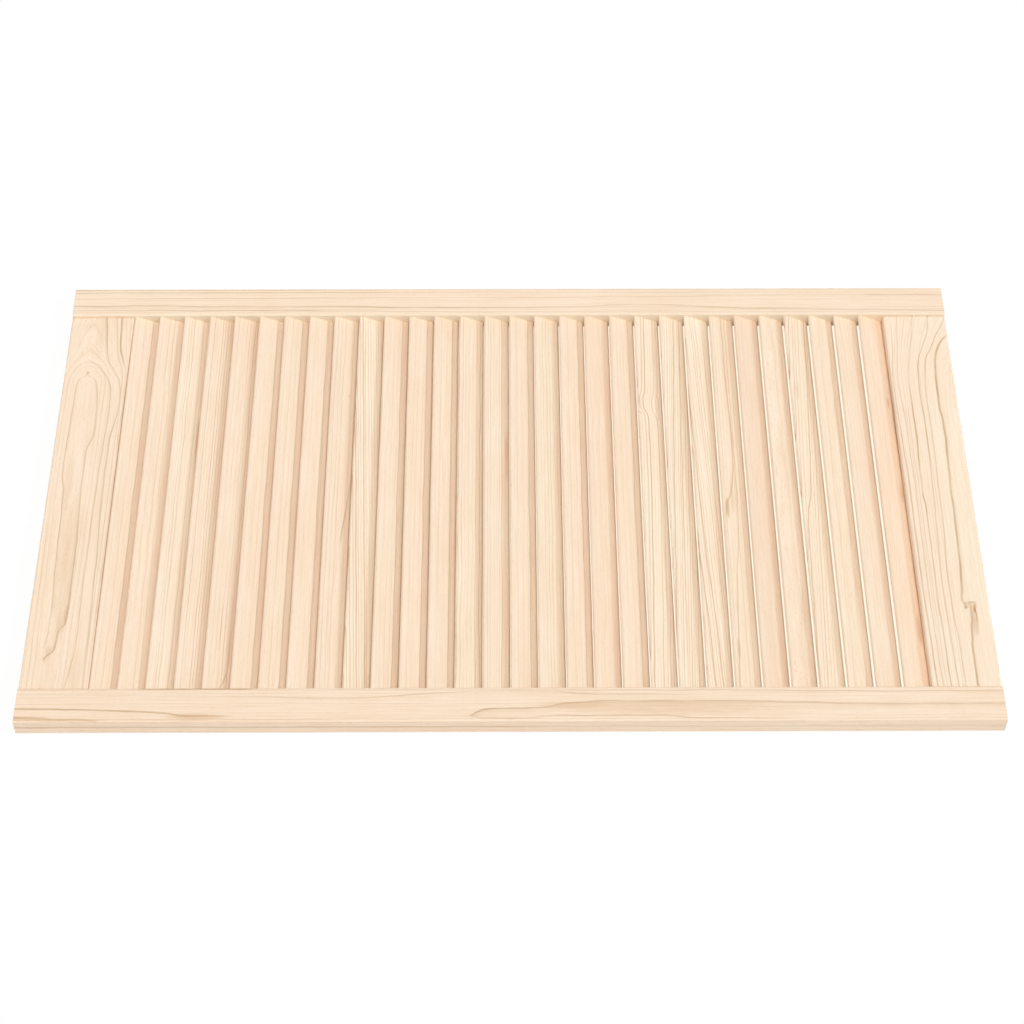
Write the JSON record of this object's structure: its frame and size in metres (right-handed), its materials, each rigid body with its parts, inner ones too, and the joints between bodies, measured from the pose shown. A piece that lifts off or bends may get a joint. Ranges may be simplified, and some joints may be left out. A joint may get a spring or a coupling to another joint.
{
  "type": "louvred cabinet door",
  "caption": "Pine cabinet door: a dowelled frame of stiles and rails holds fixed slanting slats in stopped slots, so air passes but the view is screened.",
  "frame": {"origin": "centre of the door's back plane, on which both stiles lie, midway up the door's height and across its width", "axes": "+X up the door's height, towards its top rail, +Y across its width, towards its left stile as seen from in front, +Z out of its front face"},
  "size_m": [0.993, 0.594, 0.021],
  "materials": {
    "pine_frame": "matt, planed and sanded, unfinished",
    "pine_slat": "matt, planed, unfinished",
    "beech_dowel": "matt, grooved"
  },
  "bodies": {
    "root": {"left_stile": "pine_frame", "right_stile": "pine_frame", "bottom_rail": "pine_frame", "top_rail": "pine_frame", "slat_01": "pine_slat", "slat_02": "pine_slat", "slat_03": "pine_slat", "slat_04": "pine_slat", "slat_05": "pine_slat", "slat_06": "pine_slat", "slat_07": "pine_slat", "slat_08": "pine_slat", "slat_09": "pine_slat", "slat_10": "pine_slat", "slat_11": "pine_slat", "slat_12": "pine_slat", "slat_13": "pine_slat", "slat_14": "pine_slat", "slat_15": "pine_slat", "slat_16": "pine_slat", "slat_17": "pine_slat", "slat_18": "pine_slat", "slat_19": "pine_slat", "slat_20": "pine_slat", "slat_21": "pine_slat", "slat_22": "pine_slat", "slat_23": "pine_slat", "slat_24": "pine_slat", "slat_25": "pine_slat", "slat_26": "pine_slat", "slat_27": "pine_slat", "slat_28": "pine_slat", "slat_29": "pine_slat", "slat_30": "pine_slat", "bottom_left_outer_dowel": "beech_dowel", "bottom_left_inner_dowel": "beech_dowel", "bottom_right_outer_dowel": "beech_dowel", "bottom_right_inner_dowel": "beech_dowel", "top_left_outer_dowel": "beech_dowel", "top_left_inner_dowel": "beech_dowel", "top_right_outer_dowel": "beech_dowel", "top_right_inner_dowel": "beech_dowel"}
  },
  "joints": []
}
